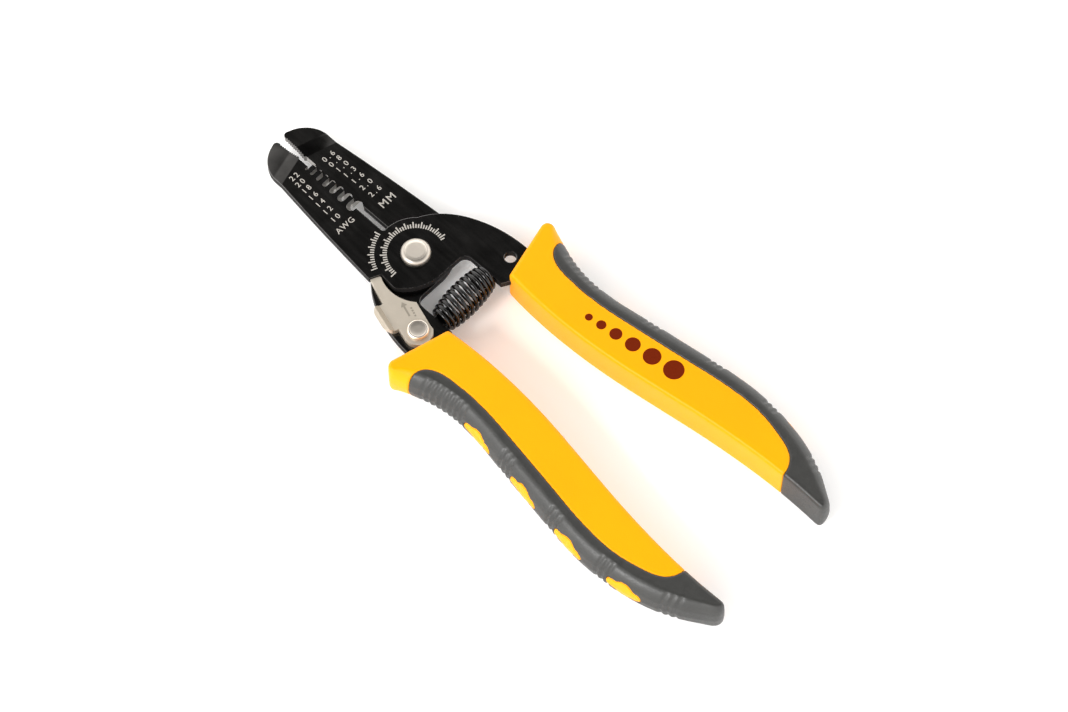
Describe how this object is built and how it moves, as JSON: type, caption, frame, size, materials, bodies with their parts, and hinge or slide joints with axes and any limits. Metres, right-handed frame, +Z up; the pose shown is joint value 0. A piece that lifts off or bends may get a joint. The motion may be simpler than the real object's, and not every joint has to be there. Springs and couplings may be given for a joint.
{
  "type": "wire stripper",
  "caption": "Hand wire stripper: two black stamped jaw plates with wire notches on one rivet, a return spring, a lock lever and two-colour moulded grips.",
  "frame": {"origin": "on the bench under the middle of the tool's bounding box, with the tool lying flat", "axes": "+X along the tool to the jaw tips, +Z up out of the bench, +Y to the grip of the rear plate"},
  "size_m": [0.1742, 0.0636, 0.0115],
  "materials": {
    "jaw_black": "semi-gloss black oxide",
    "rivet_steel": "nickel plated",
    "lever_nickel": "satin nickel plated",
    "spring_black": "gloss black",
    "grip_yellow": "satin moulded",
    "grip_grey": "fine matt texture"
  },
  "bodies": {
    "front_half": {"front_plate": "jaw_black", "front_grip_core": "grip_yellow", "front_grip_sleeve": "grip_grey", "return_spring": "spring_black"},
    "pivot": {"pivot_rivet": "rivet_steel"},
    "rear_half": {"rear_plate": "jaw_black", "rear_grip_core": "grip_yellow", "rear_grip_sleeve": "grip_grey", "lock_rivet": "rivet_steel"},
    "lock": {"lock_lever": "lever_nickel"}
  },
  "joints": [
    {"name": "jaw_close", "type": "hinge", "parent": "front_half", "child": "pivot", "pos_m": [0.037, 0, 0.00575], "axis": [0, 0, 1], "range_deg": [0, 2.4], "deforming": ["return_spring"]},
    {"name": "jaw_open", "type": "hinge", "parent": "pivot", "child": "rear_half", "pos_m": [0.037, 0, 0.00575], "axis": [0, 0, -1], "range_deg": [0, 12], "deforming": ["return_spring"]},
    {"name": "lock_swing", "type": "hinge", "parent": "rear_half", "child": "lock", "pos_m": [0.021, 0.0152, 0.00575], "axis": [0, 0, 1], "range_deg": [0, 40]}
  ],
  "couplings": [
    {"joint": "lock_swing", "follows": "jaw_open", "ratio": 3.3}
  ]
}
